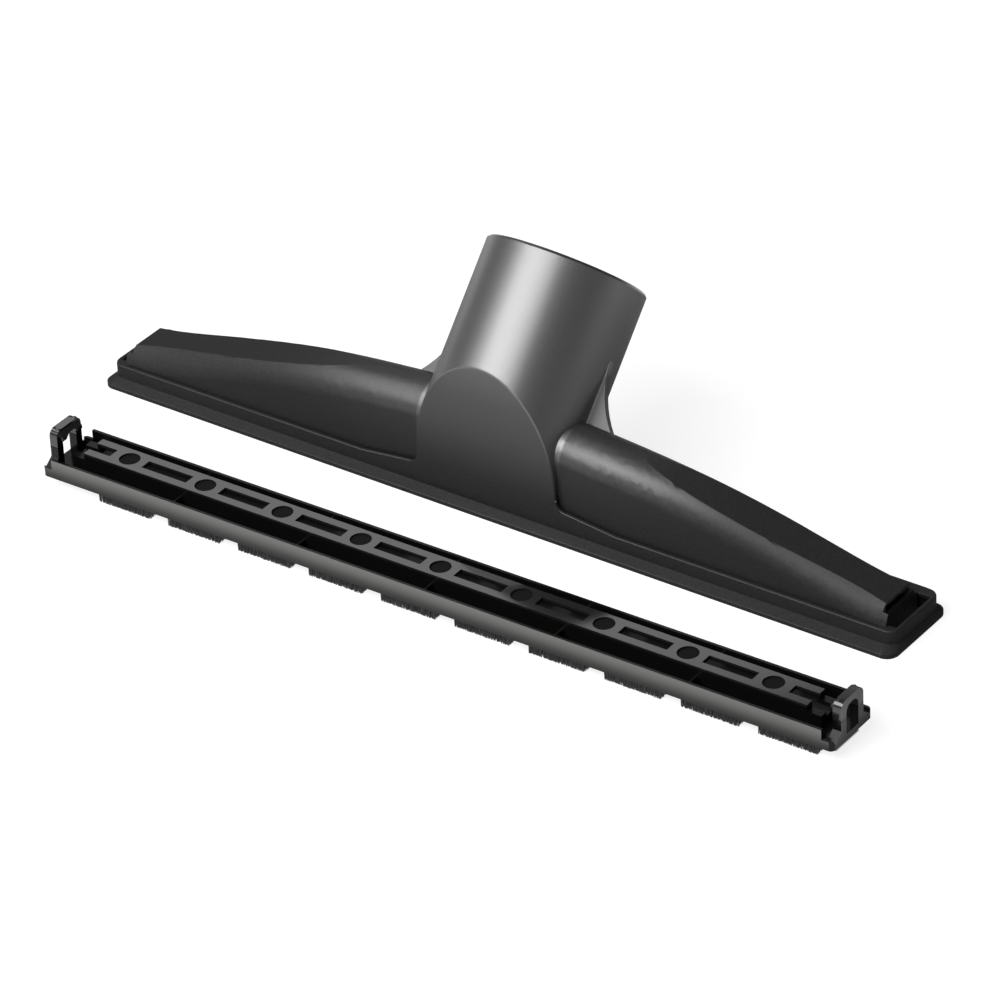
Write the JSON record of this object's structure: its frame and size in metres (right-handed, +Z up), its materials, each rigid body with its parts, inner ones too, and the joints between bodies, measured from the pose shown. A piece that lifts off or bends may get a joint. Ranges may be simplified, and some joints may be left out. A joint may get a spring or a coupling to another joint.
{
  "type": "vacuum floor nozzle",
  "caption": "Wide floor nozzle for a canister vacuum: long low housing with a leaning round hose socket, and its clip-in bristle insert frame standing beside it, taken off.",
  "frame": {"origin": "centre of the whole part's box on the floor, between the nozzle housing and the insert frame that stands in front of it", "axes": "+X along the nozzle, +Y towards the back, where the hose socket leans, +Z up"},
  "size_m": [0.3744, 0.1518, 0.0978],
  "materials": {
    "housing": "satin, fine moulded grain",
    "frame": "semi-gloss",
    "bristle": "soft black filament"
  },
  "bodies": {
    "root": {"nozzle_housing": "housing", "insert_frame": "frame", "front_bristle_block_01": "bristle", "front_bristle_block_02": "bristle", "front_bristle_block_03": "bristle", "front_bristle_block_04": "bristle", "front_bristle_block_05": "bristle", "front_bristle_block_06": "bristle", "front_bristle_block_07": "bristle", "front_bristle_block_08": "bristle", "front_bristle_block_09": "bristle", "front_bristle_block_10": "bristle", "rear_bristle_block_01": "bristle", "rear_bristle_block_02": "bristle", "rear_bristle_block_03": "bristle", "rear_bristle_block_04": "bristle", "rear_bristle_block_05": "bristle", "rear_bristle_block_06": "bristle", "rear_bristle_block_07": "bristle", "rear_bristle_block_08": "bristle", "rear_bristle_block_09": "bristle", "rear_bristle_block_10": "bristle"}
  },
  "joints": []
}
